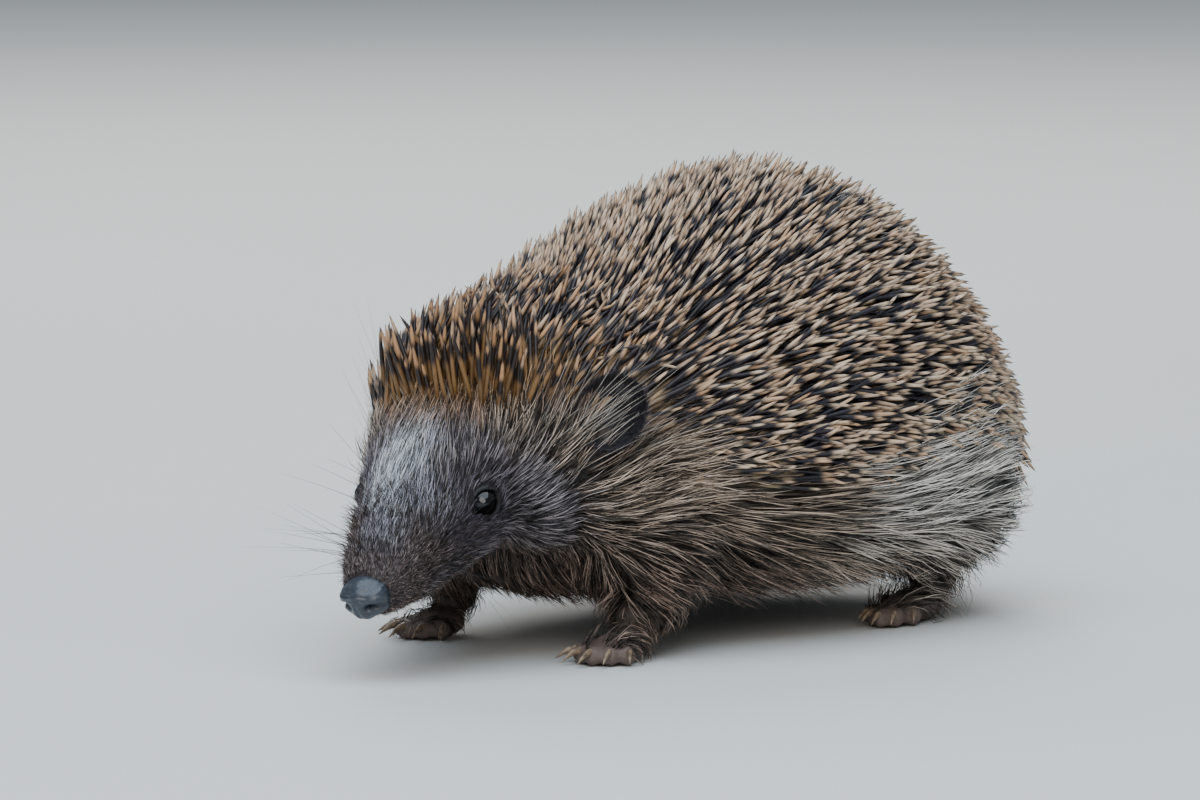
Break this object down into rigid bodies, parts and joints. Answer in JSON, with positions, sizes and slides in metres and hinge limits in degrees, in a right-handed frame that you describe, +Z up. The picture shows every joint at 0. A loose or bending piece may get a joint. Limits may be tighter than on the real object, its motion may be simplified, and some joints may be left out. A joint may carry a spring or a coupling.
{
  "type": "hedgehog",
  "caption": "Life-size European hedgehog as a still model, standing with its nose low to the ground, spiny back over a furred face and flanks.",
  "frame": {"origin": "on the ground under the middle of the animal's bounding box", "axes": "-Y the way the animal faces, +X its left side, +Z up; the soles stand on Z = 0"},
  "size_m": [0.117, 0.2266, 0.1047],
  "materials": {
    "fur": "coarse hair, grey-brown with paler tips",
    "spines": "smooth horn, banded cream and blackish brown",
    "skin": "dark bare skin with short fine hair",
    "nose": "moist and finely wrinkled",
    "eyes": "wet gloss",
    "claws": "polished horn"
  },
  "bodies": {
    "root": {"belly": "fur", "neck": "fur", "head": "fur", "lower_jaw": "fur", "spiny_back": "spines", "nose": "nose", "eye_left": "eyes", "eye_right": "eyes", "ear_left": "skin", "ear_right": "skin", "tail": "skin", "leg_front_left": "fur", "leg_front_right": "fur", "leg_hind_left": "fur", "leg_hind_right": "fur", "paw_front_left": "skin", "paw_front_right": "skin", "paw_hind_left": "skin", "paw_hind_right": "skin", "claw_front_left_1": "claws", "claw_front_left_2": "claws", "claw_front_left_3": "claws", "claw_front_left_4": "claws", "claw_front_left_5": "claws", "claw_front_right_1": "claws", "claw_front_right_2": "claws", "claw_front_right_3": "claws", "claw_front_right_4": "claws", "claw_front_right_5": "claws", "claw_hind_left_1": "claws", "claw_hind_left_2": "claws", "claw_hind_left_3": "claws", "claw_hind_left_4": "claws", "claw_hind_left_5": "claws", "claw_hind_right_1": "claws", "claw_hind_right_2": "claws", "claw_hind_right_3": "claws", "claw_hind_right_4": "claws", "claw_hind_right_5": "claws"}
  },
  "joints": []
}
